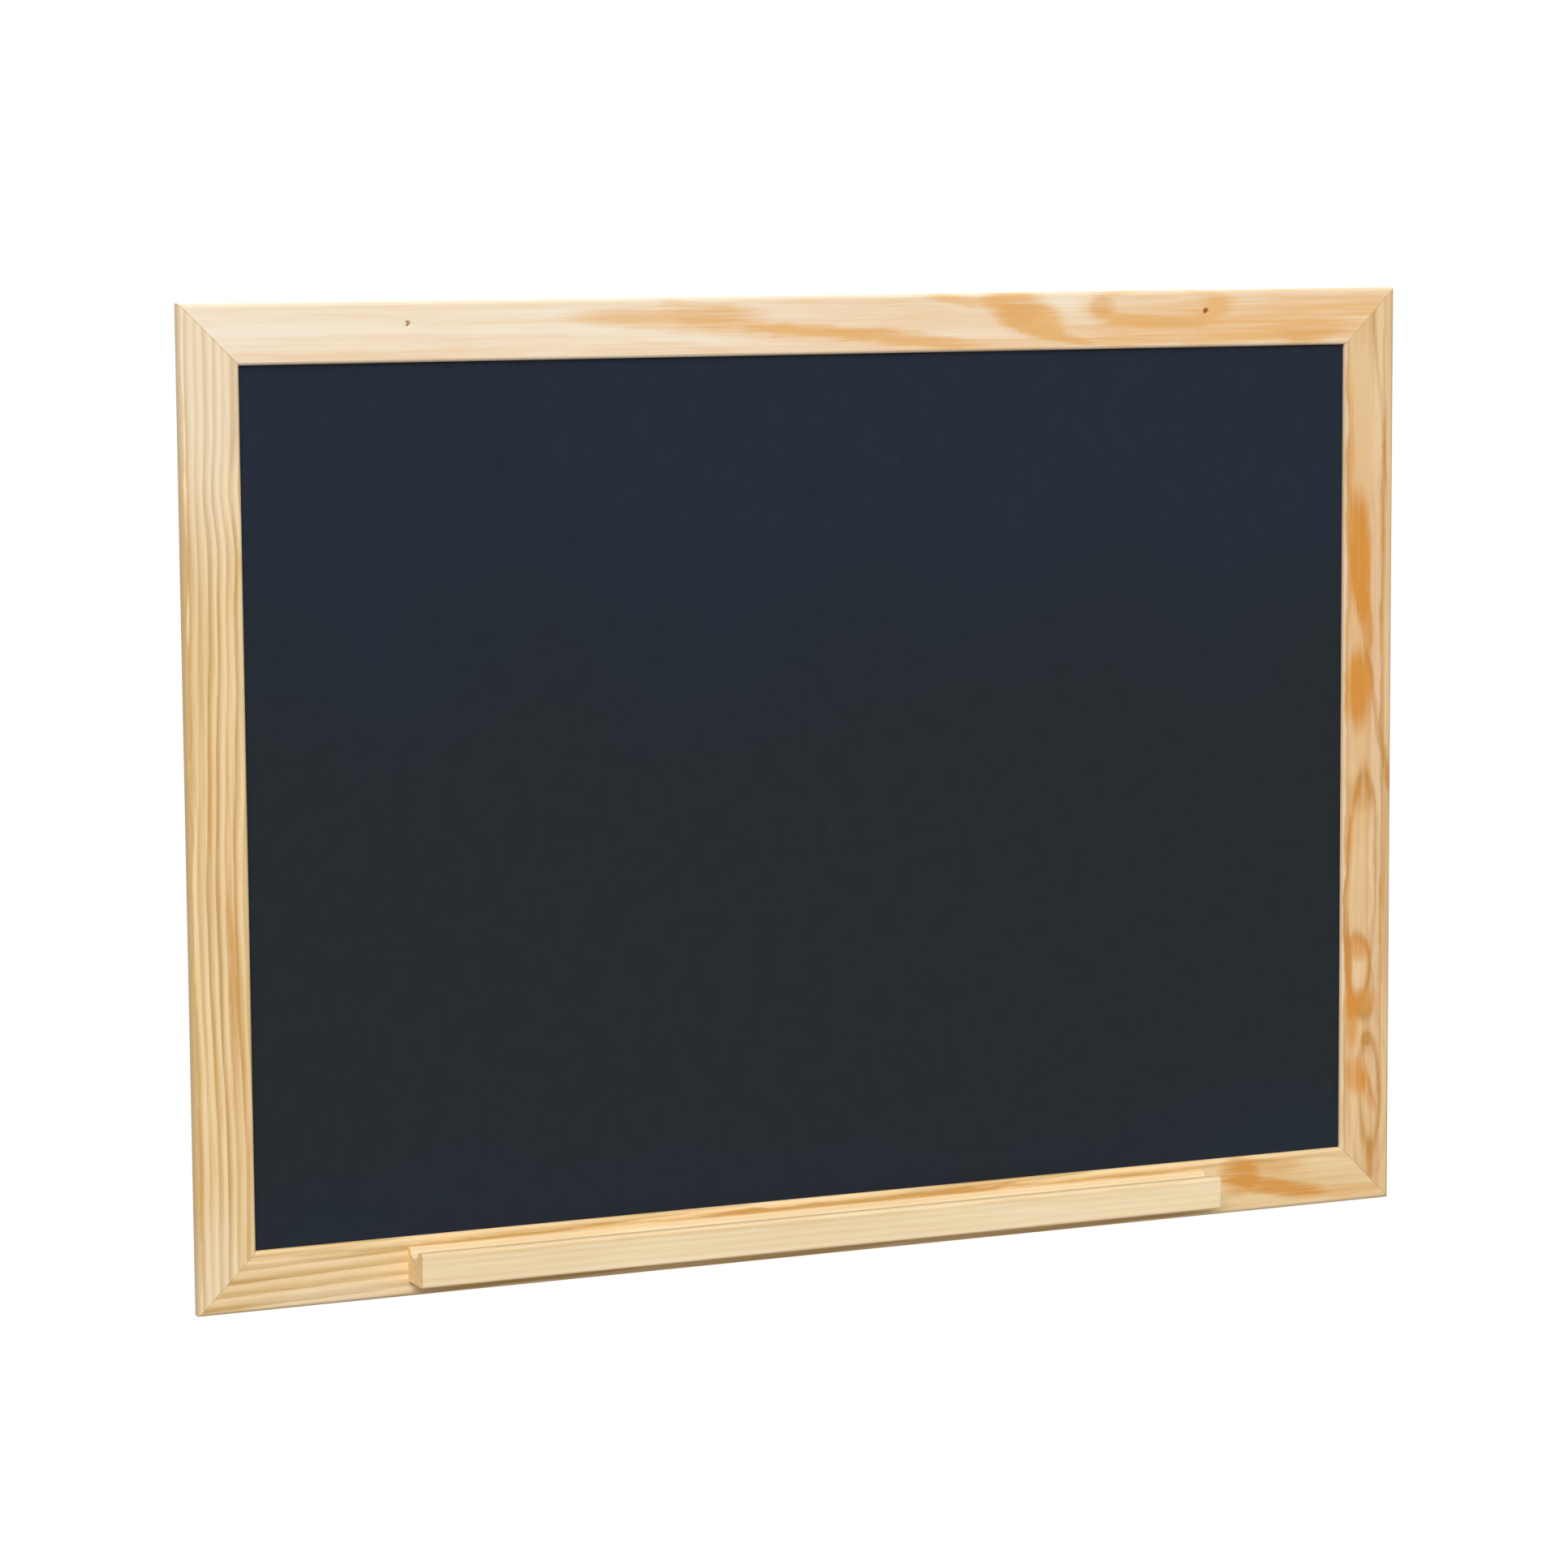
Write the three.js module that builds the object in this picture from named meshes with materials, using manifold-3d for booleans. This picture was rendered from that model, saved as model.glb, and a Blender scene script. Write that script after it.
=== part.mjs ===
import * as THREE from "three";
import { mergeVertices } from "three/addons/utils/BufferGeometryUtils.js";
import Module from "manifold-3d";

// Wall chalkboard: a coated hardboard panel in a mitred pine frame, with a chalk ledge on the
// bottom rail. Millimetres, +Z up. The board faces -Y and its back lies on the wall at Y = 0.
// The origin is on the back of the top rail, on the centre line, level with the wall screw holes.

// Opening and frame
const OPENING_WIDTH = 820;
const OPENING_HEIGHT = 578;
const RAIL_WIDTH = 40;
const RAIL_THICKNESS = 9;
const OUTER_ARRIS = 3;
const INNER_ARRIS = 2.5;
const BACK_ARRIS = 1;
const LEAST_FLAT = 0.5;
const MITRE_TRIM = 0.125;

// Rebate and writing panel
const LIP_THICKNESS = 3.75;
const REBATE_WIDTH = 7;
const PANEL_THICKNESS = 3;
const PANEL_PLAY = 1;

// Wall screw holes in the top rail
const HOLE_DIAMETER = 4;
const HOLE_SPACING = 592;
const HOLE_SHIFT = 1;
const HOLE_BELOW_TOP = 15;

// Chalk ledge, with a groove along its top
const LEDGE_LENGTH = 600;
const LEDGE_SHIFT = -5;
const LEDGE_DEPTH = 28;
const LEDGE_HEIGHT = 23;
const LEDGE_DROP = 6.5;
const LEDGE_TOP_ARRIS = 3;
const LEDGE_LOW_ARRIS = 1.5;
const GROOVE_WIDTH = 18;
const GROOVE_DEPTH = 6;
const GROOVE_FROM_RAIL = 3;

// Countersunk screws that hold the ledge, driven through the bottom rail from behind
const SCREW_COUNT = 3;
const SCREW_FROM_END = 52;
const SCREW_DIAMETER = 3.5;
const SCREW_HEAD_DIAMETER = 7;
const SCREW_HEAD_RIM = 0.4;
const SCREW_SINK = 0.25;
const SCREW_COVER = 6.75;
const SCREW_TIP = 4;
const CROSS_LENGTH = 3.8;
const CROSS_WIDTH = 0.9;
const CROSS_DEPTH = 1.5;

// Steel V nails driven into each mitre from behind, at these distances out from the opening
const NAIL_PLACES = { inner: 15, outer: 31 };
const NAIL_LEG = 6;
const NAIL_THICKNESS = 0.6;
const NAIL_HEIGHT = 6;
const NAIL_SINK = 0.5;

// Steel points that hold the panel in the rebate
const POINTS_PER_RAIL = 4;
const POINTS_PER_STILE = 3;
const POINT_FROM_CORNER = 95;
const POINT_WIDTH = 5;
const POINT_THICKNESS = 0.5;
const POINT_OVER_PANEL = 8;
const POINT_IN_WOOD = 6;
const POINT_TAPER = 3;

// Clearance round each fastener, how far a cut runs past a face, how near two vertices are when
// they count as one, and the fineness of round shapes
const FIT = 0.25;
const PAST = 1;
const SAME_PLACE = 1e-5;
const ARRIS_STEPS = 6;
const GROOVE_STEPS = 16;
const ROUND_SIDES = 24;

// Places that follow from the sizes
const FRONT = -RAIL_THICKNESS;
const PANEL_FRONT = FRONT + LIP_THICKNESS;
const PANEL_BACK = PANEL_FRONT + PANEL_THICKNESS;
const HOLE_OUT = RAIL_WIDTH - HOLE_BELOW_TOP;
const OPENING_TOP = -HOLE_OUT;
const OPENING_CENTRE = OPENING_TOP - OPENING_HEIGHT / 2;
const LEDGE_TOP = OPENING_TOP - OPENING_HEIGHT - LEDGE_DROP;
const SCREW_OUT = LEDGE_DROP + LEDGE_HEIGHT / 2;
const SCREW_LENGTH = RAIL_THICKNESS + LEDGE_DEPTH - SCREW_COVER - SCREW_SINK;
const SCREW_PLACES = placesAlong(LEDGE_LENGTH, SCREW_COUNT, SCREW_FROM_END);
const QUARTER = Math.PI / 2;

const PINE = { color: 0xe2be89, roughness: 0.6, metalness: 0 };
const PALE_PINE = { color: 0xebd5ad, roughness: 0.6, metalness: 0 };
const SLATE_COAT = { color: 0x292e38, roughness: 0.55, metalness: 0 };
const ZINC_STEEL = { color: 0xb9bcc0, roughness: 0.35, metalness: 1 };

const wasm = await Module();
wasm.setup();

// A closed geometry as a solid that can be cut
function solidOf(geometry) {
  const bare = geometry.clone();
  bare.deleteAttribute("normal");
  bare.deleteAttribute("uv");
  const merged = mergeVertices(bare, SAME_PLACE);
  const vertProperties = merged.attributes.position.array;
  const triVerts = merged.index.array;
  return new wasm.Manifold(new wasm.Mesh({ numProp: 3, vertProperties, triVerts }));
}

// A geometry with a list of closed geometries cut out of it
function cutOut(geometry, cutters) {
  let body = solidOf(geometry);
  for (const cutter of cutters) {
    body = body.subtract(solidOf(cutter));
  }
  const mesh = body.getMesh();
  const result = new THREE.BufferGeometry();
  result.setAttribute("position", new THREE.BufferAttribute(mesh.vertProperties, 3));
  result.setIndex(new THREE.BufferAttribute(mesh.triVerts, 1));
  return result;
}

// A named mesh with its own material
function piece(name, geometry, finish) {
  const mesh = new THREE.Mesh(geometry, new THREE.MeshStandardMaterial(finish));
  mesh.name = name;
  return mesh;
}

// An outline in X and Z, made solid from its back plane towards the front
function plate(outline, back, thickness) {
  const shape = new THREE.Shape(outline.map(([x, z]) => new THREE.Vector2(x, z)));
  const geometry = new THREE.ExtrudeGeometry(shape, { depth: thickness, bevelEnabled: false });
  geometry.rotateX(QUARTER);
  geometry.translate(0, back, 0);
  return geometry;
}

// Even places along a span, the first and the last at a set distance from its ends
function placesAlong(span, count, fromEnd) {
  const run = span - 2 * fromEnd;
  return Array.from({ length: count }, (_, i) => run * (i / (count - 1) - 0.5));
}

// Section of a frame strip: out from the opening's edge, and back from the front face
function stripSection() {
  const inner = Math.min(INNER_ARRIS, LIP_THICKNESS - LEAST_FLAT);
  const outer = Math.min(OUTER_ARRIS, RAIL_THICKNESS - BACK_ARRIS - LEAST_FLAT);
  const outerStart = RAIL_WIDTH - outer;
  const backEnd = RAIL_WIDTH - BACK_ARRIS;
  const backStart = RAIL_THICKNESS - BACK_ARRIS;
  const section = new THREE.Shape();
  section.moveTo(inner, 0);
  section.lineTo(outerStart, 0);
  section.absarc(outerStart, outer, outer, -QUARTER, 0, false);
  section.absarc(backEnd, backStart, BACK_ARRIS, 0, QUARTER, false);
  section.lineTo(REBATE_WIDTH, RAIL_THICKNESS);
  section.lineTo(REBATE_WIDTH, LIP_THICKNESS);
  section.lineTo(0, LIP_THICKNESS);
  section.absarc(inner, inner, inner, Math.PI, Math.PI + QUARTER, false);
  return section;
}

// A strip with mitred ends, because each point of its section runs out to its own mitre.
// X runs along the strip, Z out from the opening, and Y = 0 is the back.
function mitredStrip(openingSpan) {
  const geometry = new THREE.ExtrudeGeometry(stripSection(), {
    depth: 1,
    bevelEnabled: false,
    curveSegments: ARRIS_STEPS,
  });
  const position = geometry.attributes.position;
  for (let i = 0; i < position.count; i += 1) {
    const out = position.getX(i);
    const depth = position.getY(i);
    const end = position.getZ(i) > 0 ? -1 : 1;
    const reach = openingSpan / 2 + out - MITRE_TRIM;
    position.setXYZ(i, end * reach, FRONT + depth, out);
  }
  return geometry;
}

// Outline of a V nail: two legs from a corner on the mitre, one into each strip
function nailOutline(grow) {
  const far = -NAIL_LEG - grow;
  const web = -NAIL_THICKNESS - grow;
  return [[grow, grow], [far, grow], [far, web], [web, web], [web, far], [grow, far]];
}

// The slots for V nails at the two mitred ends of a strip
function nailSlots(openingSpan) {
  const slots = [];
  const depth = PAST + NAIL_SINK + NAIL_HEIGHT + FIT;
  for (const out of Object.values(NAIL_PLACES)) {
    for (const end of [1, -1]) {
      const slot = plate(nailOutline(FIT), PAST, depth);
      slot.rotateY(end > 0 ? 0 : -QUARTER);
      slot.translate(end * (openingSpan / 2 + out), 0, out);
      slots.push(slot);
    }
  }
  return slots;
}

// Outline of a panel point: a strip over the panel that tapers to its tip in the wood
function pointOutline(grow) {
  const half = POINT_WIDTH / 2 + grow;
  const low = REBATE_WIDTH - POINT_OVER_PANEL - grow;
  const tip = REBATE_WIDTH + POINT_IN_WOOD + grow;
  const taper = tip - POINT_TAPER;
  return [[-half, low], [half, low], [half, taper], [0, tip], [-half, taper]];
}

// The slots for panel points in the rebate wall of a strip
function pointSlots(places) {
  const back = PANEL_BACK + POINT_THICKNESS + FIT;
  const thickness = POINT_THICKNESS + 2 * FIT;
  return places.map((place) => {
    const slot = plate(pointOutline(FIT), back, thickness);
    slot.translate(place, 0, 0);
    return slot;
  });
}

// Section of a ledge screw from its head at Y = 0 to its tip, turned about Y
function screwTurning(grow, past) {
  const shank = SCREW_DIAMETER / 2 + grow;
  const head = SCREW_HEAD_DIAMETER / 2 + grow;
  const cone = -SCREW_HEAD_RIM - (head - shank);
  const tip = -SCREW_LENGTH - grow;
  const section = [
    [0, tip],
    [shank, tip + SCREW_TIP],
    [shank, cone],
    [head, -SCREW_HEAD_RIM],
    [head, past],
    [0, past],
  ];
  const points = section.map(([radius, y]) => new THREE.Vector2(radius, y));
  const geometry = new THREE.LatheGeometry(points, ROUND_SIDES);
  geometry.translate(0, -SCREW_SINK, 0);
  return geometry;
}

// The holes that the ledge screws need, at a set distance out from the opening
function screwHoles(places, out) {
  return places.map((place) => {
    const hole = screwTurning(FIT, SCREW_SINK + PAST);
    hole.translate(place, 0, out);
    return hole;
  });
}

// A ledge screw with a cross recess in its head
function ledgeScrew() {
  const recess = [
    new THREE.BoxGeometry(CROSS_LENGTH, 2 * CROSS_DEPTH, CROSS_WIDTH),
    new THREE.BoxGeometry(CROSS_WIDTH, 2 * CROSS_DEPTH, CROSS_LENGTH),
  ];
  for (const slot of recess) {
    slot.translate(0, -SCREW_SINK, 0);
  }
  return cutOut(screwTurning(0, 0), recess);
}

// The two holes for the wall screws, straight through the top rail
function wallScrewHoles() {
  return [-1, 1].map((side) => {
    const radius = HOLE_DIAMETER / 2;
    const hole = new THREE.CylinderGeometry(radius, radius, RAIL_THICKNESS + 2 * PAST, ROUND_SIDES);
    hole.translate(HOLE_SHIFT + side * HOLE_SPACING / 2, -RAIL_THICKNESS / 2, HOLE_OUT);
    return hole;
  });
}

// The ledge: its section stands in front of the rail, with a round-bottomed groove along the top
function ledgeBlank() {
  const halfGroove = GROOVE_WIDTH / 2;
  const radius = (halfGroove ** 2 + GROOVE_DEPTH ** 2) / (2 * GROOVE_DEPTH);
  const grooveCentre = GROOVE_FROM_RAIL + halfGroove;
  const centreHeight = LEDGE_HEIGHT - GROOVE_DEPTH + radius;
  const rim = Math.atan2(LEDGE_HEIGHT - centreHeight, halfGroove);
  const lowStart = LEDGE_DEPTH - LEDGE_LOW_ARRIS;
  const topStart = LEDGE_DEPTH - LEDGE_TOP_ARRIS;
  const topHeight = LEDGE_HEIGHT - LEDGE_TOP_ARRIS;
  const section = new THREE.Path();
  section.moveTo(0, 0);
  section.absarc(lowStart, LEDGE_LOW_ARRIS, LEDGE_LOW_ARRIS, -QUARTER, 0, false);
  section.absarc(topStart, topHeight, LEDGE_TOP_ARRIS, 0, QUARTER, false);
  const points = section.getPoints(ARRIS_STEPS);
  const sweep = Math.PI + 2 * rim;
  for (let i = 0; i <= GROOVE_STEPS; i += 1) {
    const angle = rim - sweep * (i / GROOVE_STEPS);
    const u = grooveCentre + radius * Math.cos(angle);
    const v = centreHeight + radius * Math.sin(angle);
    points.push(new THREE.Vector2(u, v));
  }
  points.push(new THREE.Vector2(0, LEDGE_HEIGHT));
  const shape = new THREE.Shape(points);
  const geometry = new THREE.ExtrudeGeometry(shape, { depth: LEDGE_LENGTH, bevelEnabled: false });
  geometry.translate(0, 0, -LEDGE_LENGTH / 2);
  geometry.rotateY(-QUARTER);
  geometry.rotateX(QUARTER);
  geometry.translate(0, FRONT, -LEDGE_HEIGHT);
  return geometry;
}

// One side of the frame, in a group turned about Y so that Z runs out from the opening
function frameSide(side) {
  const group = new THREE.Group();
  const points = placesAlong(side.span, side.points, POINT_FROM_CORNER);
  const cuts = [...nailSlots(side.span), ...pointSlots(points), ...side.holes];
  group.add(piece(side.strip, cutOut(mitredStrip(side.span), cuts), PINE));
  points.forEach((place, i) => {
    const blade = plate(pointOutline(0), PANEL_BACK + POINT_THICKNESS, POINT_THICKNESS);
    const mesh = piece(`panel_point_${side.place}_${i + 1}`, blade, ZINC_STEEL);
    mesh.position.x = place;
    group.add(mesh);
  });
  group.rotation.y = side.turn;
  group.position.set(side.x, 0, side.z);
  return group;
}

// The V nails of one corner, in a group turned about Y like the frame side before it
function frameCorner(corner) {
  const group = new THREE.Group();
  for (const [name, out] of Object.entries(NAIL_PLACES)) {
    const body = plate(nailOutline(0), -NAIL_SINK, NAIL_HEIGHT);
    const nail = piece(`v_nail_${corner.place}_${name}`, body, ZINC_STEEL);
    nail.position.set(out, 0, out);
    group.add(nail);
  }
  group.rotation.y = corner.turn;
  group.position.set(corner.x, 0, corner.z);
  return group;
}

// The ledge and its screws, in a group at the middle of the ledge's top back edge
function chalkLedge() {
  const group = new THREE.Group();
  const holes = screwHoles(SCREW_PLACES, -LEDGE_HEIGHT / 2);
  group.add(piece("chalk_ledge", cutOut(ledgeBlank(), holes), PALE_PINE));
  SCREW_PLACES.forEach((place, i) => {
    const screw = piece(`ledge_screw_${i + 1}`, ledgeScrew(), ZINC_STEEL);
    screw.position.set(place, 0, -LEDGE_HEIGHT / 2);
    group.add(screw);
  });
  group.position.set(LEDGE_SHIFT, 0, LEDGE_TOP);
  return group;
}

// The writing panel, which fills the rebate but for its play
function writingPanel() {
  const margin = 2 * (REBATE_WIDTH - PANEL_PLAY);
  const width = OPENING_WIDTH + margin;
  const height = OPENING_HEIGHT + margin;
  const geometry = new THREE.BoxGeometry(width, PANEL_THICKNESS, height);
  const panel = piece("writing_panel", geometry, SLATE_COAT);
  panel.position.set(0, PANEL_FRONT + PANEL_THICKNESS / 2, OPENING_CENTRE);
  return panel;
}

const halfWidth = OPENING_WIDTH / 2;
const halfHeight = OPENING_HEIGHT / 2;
const high = OPENING_CENTRE + halfHeight;
const low = OPENING_CENTRE - halfHeight;
const placesFromBelow = SCREW_PLACES.map((place) => -LEDGE_SHIFT - place);
const bottomScrewHoles = screwHoles(placesFromBelow, SCREW_OUT);

const rail = { span: OPENING_WIDTH, points: POINTS_PER_RAIL };
const stile = { span: OPENING_HEIGHT, points: POINTS_PER_STILE, z: OPENING_CENTRE, holes: [] };
const sides = [
  { ...rail, strip: "top_rail", place: "top", turn: 0, x: 0, z: high, holes: wallScrewHoles() },
  { ...rail, strip: "bottom_rail", place: "bottom", turn: Math.PI, x: 0, z: low, holes: bottomScrewHoles },
  { ...stile, strip: "left_stile", place: "left", turn: -QUARTER, x: -halfWidth },
  { ...stile, strip: "right_stile", place: "right", turn: QUARTER, x: halfWidth },
];
const corners = [
  { place: "top_right", turn: 0, x: halfWidth, z: high },
  { place: "bottom_right", turn: QUARTER, x: halfWidth, z: low },
  { place: "bottom_left", turn: Math.PI, x: -halfWidth, z: low },
  { place: "top_left", turn: -QUARTER, x: -halfWidth, z: high },
];

const chalkboard = new THREE.Group();
chalkboard.add(writingPanel());
for (const side of sides) {
  chalkboard.add(frameSide(side));
}
for (const corner of corners) {
  chalkboard.add(frameCorner(corner));
}
chalkboard.add(chalkLedge());

export default chalkboard;
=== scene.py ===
# A wall chalkboard: a coated hardboard panel in a mitred pine frame, with a chalk ledge below.
import math

import bmesh
import bpy
from mathutils import Matrix, Vector


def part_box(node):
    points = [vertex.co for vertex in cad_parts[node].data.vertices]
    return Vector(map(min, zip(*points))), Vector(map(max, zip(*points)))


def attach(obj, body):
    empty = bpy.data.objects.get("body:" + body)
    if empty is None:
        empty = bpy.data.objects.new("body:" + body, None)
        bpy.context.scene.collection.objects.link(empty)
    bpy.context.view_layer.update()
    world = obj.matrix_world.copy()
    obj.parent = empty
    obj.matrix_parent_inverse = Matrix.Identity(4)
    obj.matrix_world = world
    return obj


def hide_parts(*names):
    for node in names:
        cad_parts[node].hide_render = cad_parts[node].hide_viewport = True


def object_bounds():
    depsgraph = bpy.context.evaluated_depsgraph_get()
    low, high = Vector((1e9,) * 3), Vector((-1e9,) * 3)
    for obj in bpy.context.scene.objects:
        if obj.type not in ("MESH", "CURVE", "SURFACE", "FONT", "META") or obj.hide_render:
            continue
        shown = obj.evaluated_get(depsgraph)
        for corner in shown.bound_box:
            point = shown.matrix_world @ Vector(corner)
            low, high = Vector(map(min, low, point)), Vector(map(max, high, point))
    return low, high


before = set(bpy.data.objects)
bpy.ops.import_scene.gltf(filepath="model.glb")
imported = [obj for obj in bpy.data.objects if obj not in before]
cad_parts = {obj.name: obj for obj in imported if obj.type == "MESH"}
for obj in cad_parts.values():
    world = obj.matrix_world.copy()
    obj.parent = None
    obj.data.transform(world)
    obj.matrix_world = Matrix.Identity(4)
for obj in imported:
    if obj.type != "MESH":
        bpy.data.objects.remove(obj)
cad_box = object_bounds()

# The view. The board is seen from its left and from a little above, three metres and more away,
# through a long lens that is tipped down to it and rolled by less than half a degree.
photo_width = 1932
focal_length_in_pixels = 6078
film_width = 36
eye = (-1.397, -3.0435, 0.0654)
turned_right = math.radians(24.265)
tipped_down = math.radians(6.524)
rolled = math.radians(0.403)

lens = bpy.data.cameras.new("camera")
lens.sensor_width = film_width
lens.lens = film_width * focal_length_in_pixels / photo_width
camera = bpy.data.objects.new("camera", lens)
camera.matrix_world = (
    Matrix.Translation(eye)
    @ Matrix.Rotation(-turned_right, 4, "Z")
    @ Matrix.Rotation(math.pi / 2 - tipped_down, 4, "X")
    @ Matrix.Rotation(-rolled, 4, "Z")
)
bpy.context.scene.collection.objects.link(camera)
bpy.context.scene.camera = camera
bpy.context.scene.view_settings.view_transform = "Standard"


# The studio. A plain pale floor lies well below the board, which hangs as it would on a wall. One
# large soft lamp stands high in front of it at the left and a weaker one opposite, behind it. What
# the lens sees beyond the board is white.
floor_drop = 0.95
floor_reach = 60
floor_shown = 0.95
floor_glow = 0.9
floor_bounce = 0.34
room_light = 0.38
lamp_strength = 2.6
lamp_spread = math.radians(35)
lamp_height = math.radians(40)
lamp_turn = math.radians(30)
back_lamp_strength = 1.6
back_lamp_height = math.radians(25)


class Field:
    """A number that changes over a surface. Sums and products of it become Math nodes."""

    def __init__(self, tree, socket):
        self.tree = tree
        self.socket = socket

    def calc(self, operation, *others):
        node = self.tree.nodes.new("ShaderNodeMath")
        node.operation = operation
        for socket, value in zip(node.inputs, (self, *others)):
            feed(self.tree, socket, value)
        return Field(self.tree, node.outputs[0])

    def __add__(self, other):
        return self.calc("ADD", other)

    def __sub__(self, other):
        return self.calc("SUBTRACT", other)

    def __radd__(self, other):
        return self.calc("ADD", other)

    def __mul__(self, other):
        return self.calc("MULTIPLY", other)

    def __truediv__(self, other):
        return self.calc("DIVIDE", other)

    def ramp(self, low, high, start=0.0, end=1.0):
        """Goes smoothly from start at the low value to end at the high one."""
        settings = {"Value": self, "From Min": low, "From Max": high, "To Min": start, "To Max": end}
        node = put(self.tree, "ShaderNodeMapRange", settings, interpolation_type="SMOOTHSTEP")
        return Field(self.tree, node.outputs["Result"])


def feed(tree, socket, value):
    """Gives an input a plain value, or links what another node puts out."""
    if isinstance(value, Field):
        value = value.socket
    if isinstance(value, bpy.types.NodeSocket):
        tree.links.new(value, socket)
    else:
        socket.default_value = value


def put(tree, kind, inputs=None, **settings):
    """A new node with its settings and inputs."""
    node = tree.nodes.new(kind)
    for name, value in settings.items():
        setattr(node, name, value)
    for key, value in (inputs or {}).items():
        feed(tree, node.inputs[key], value)
    return node


def seen_directly(tree):
    """1 for what the lens, a gloss or a glass sees, and 0 for light that falls on something."""
    path = put(tree, "ShaderNodeLightPath")
    camera_ray = Field(tree, path.outputs["Is Camera Ray"])
    return camera_ray.calc("MAXIMUM", path.outputs["Is Glossy Ray"]).calc(
        "MAXIMUM", path.outputs["Is Transmission Ray"]
    )


world = bpy.data.worlds.new("studio")
world.use_nodes = True
sky = world.node_tree
sky.nodes.clear()
brightness = seen_directly(sky).ramp(0, 1, room_light, 1)
background = put(sky, "ShaderNodeBackground", {"Color": (1, 1, 1, 1), "Strength": brightness})
put(sky, "ShaderNodeOutputWorld", {"Surface": background.outputs[0]})
bpy.context.scene.world = world

for name, strength, tall, turn in (
    ("soft_lamp", lamp_strength, lamp_height, -lamp_turn),
    ("back_lamp", back_lamp_strength, back_lamp_height, math.pi - lamp_turn),
):
    lamp = bpy.data.lights.new(name, "SUN")
    lamp.energy = strength
    lamp.angle = lamp_spread
    lamp_object = bpy.data.objects.new(name, lamp)
    lamp_object.rotation_euler = (math.pi / 2 - tall, 0, turn)
    bpy.context.scene.collection.objects.link(lamp_object)

floor_mesh = bpy.data.meshes.new("floor")
floor_level = cad_box[0].z - floor_drop
corners = [(-1, -1), (1, -1), (1, 1), (-1, 1)]
floor_points = [(x * floor_reach, y * floor_reach, floor_level) for x, y in corners]
floor_mesh.from_pydata(floor_points, [], [(0, 1, 2, 3)])
floor = bpy.data.objects.new("floor", floor_mesh)
bpy.context.scene.collection.objects.link(floor)
paint = bpy.data.materials.new("pale_floor")
paint.use_nodes = True
paint.node_tree.nodes.clear()
grey = seen_directly(paint.node_tree).ramp(0, 1, floor_bounce, floor_shown)
matt = put(paint.node_tree, "ShaderNodeBsdfDiffuse", {"Color": grey})
glow = put(paint.node_tree, "ShaderNodeEmission", {"Color": (1, 1, 1, 1), "Strength": 1})
share = seen_directly(paint.node_tree) * floor_glow
mixed = put(paint.node_tree, "ShaderNodeMixShader", {0: share, 1: matt.outputs[0], 2: glow.outputs[0]})
put(paint.node_tree, "ShaderNodeOutputMaterial", {"Surface": mixed.outputs[0]})
floor.data.materials.append(paint)


# The V nails. Each is a strip of sheet steel folded to a right angle, driven from behind across a
# mitre so that one leg bites in each strip: two to a corner. They and the other steel come first
# here, because the wood is cut to take them.
nail_leg = 0.006
nail_thickness = 0.0006
nail_height = 0.006
nail_sink = 0.0005
steel_arris = 0.0001
slot_clearance = 0.00025
cut_past = 0.001
sharp_edge = math.radians(35)
per_metre = 1000
zinc_tones = ((0.5, 0.51, 0.53, 1), (0.68, 0.68, 0.66, 1))
zinc_bloom = (2.5, 2.5, 2.5)
zinc_lines = (0.12, 2.0, 0.12)
zinc_relief = {"strength": 0.3, "distance": 0.00005}
nail_turns = {
    "top_right": 0,
    "bottom_right": math.pi / 2,
    "bottom_left": math.pi,
    "top_left": -math.pi / 2,
}


def new_tree(name, kind, inputs, outputs):
    """A node tree with named inputs and outputs, and the sockets to link inside it."""
    tree = bpy.data.node_groups.new(name, kind)
    for direction, sockets in (("INPUT", inputs), ("OUTPUT", outputs)):
        for socket_name, socket_kind in sockets.items():
            tree.interface.new_socket(name=socket_name, in_out=direction, socket_type=socket_kind)
    given = put(tree, "NodeGroupInput").outputs
    result = put(tree, "NodeGroupOutput").inputs
    return tree, given, result


def end_tree(tree, result, geometry, finish):
    """Ends a tree with plain geometry and its material."""
    plain = put(tree, "GeometryNodeRealizeInstances", {"Geometry": geometry})
    dressed = put(tree, "GeometryNodeSetMaterial", {"Geometry": plain.outputs[0], "Material": finish})
    feed(tree, result["Geometry"], dressed.outputs[0])


def keep_shape(piece):
    """Replaces the piece's mesh by what its modifiers make of it, and removes them."""
    depsgraph = bpy.context.evaluated_depsgraph_get()
    made = bpy.data.meshes.new_from_object(piece.evaluated_get(depsgraph), depsgraph=depsgraph)
    piece.modifiers.clear()
    piece.data = made


def run_tree(piece, tree, sizes):
    """Lets a tree make the piece's mesh from its sizes, and keeps the result as a plain mesh."""
    modifier = piece.modifiers.new("made", "NODES")
    modifier.node_group = tree
    for item in tree.interface.items_tree:
        if item.in_out == "INPUT" and item.name in sizes:
            modifier[item.identifier] = sizes[item.name]
    keep_shape(piece)


def new_piece(name, mesh):
    """A piece that has this mesh."""
    piece = bpy.data.objects.new(name, mesh)
    bpy.context.scene.collection.objects.link(piece)
    return piece


def smooth(piece):
    """Smooth shading, but for the sharp edges."""
    piece.data.polygons.foreach_set("use_smooth", [True] * len(piece.data.polygons))
    piece.data.set_sharp_from_angle(angle=sharp_edge)


def finished(name, body):
    """A piece made of a body, whose faces look outward."""
    mesh = bpy.data.meshes.new(name)
    bmesh.ops.recalc_face_normals(body, faces=body.faces)
    body.to_mesh(mesh)
    body.free()
    return new_piece(name, mesh)


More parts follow.
